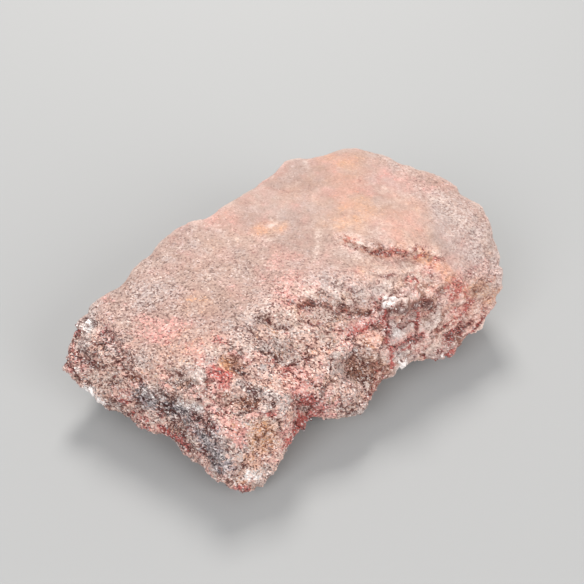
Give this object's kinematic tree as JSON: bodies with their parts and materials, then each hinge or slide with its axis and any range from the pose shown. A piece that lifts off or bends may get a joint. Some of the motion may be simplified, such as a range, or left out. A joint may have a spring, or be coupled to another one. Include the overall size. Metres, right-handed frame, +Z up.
{
  "type": "cinnabar specimen",
  "caption": "Broken hand specimen of cinnabar ore: pale rust-red quartz rock with one flat top, a chipped sloping front, red seams and an undercut base.",
  "frame": {"origin": "middle of the stone's box in plan, on the surface that the stone rests on", "axes": "+X along the stone's length, from the thin low end to the thick rounded end; +Y from the sloping front to the far side; +Z up, through the flat top"},
  "size_m": [0.0948, 0.0548, 0.029],
  "materials": {
    "cinnabar_rock": "sugary broken rock, pale pinkish brown with red and rust stains, white quartz and dark metallic grains"
  },
  "bodies": {
    "root": {"cinnabar_rock": "cinnabar_rock"}
  },
  "joints": []
}
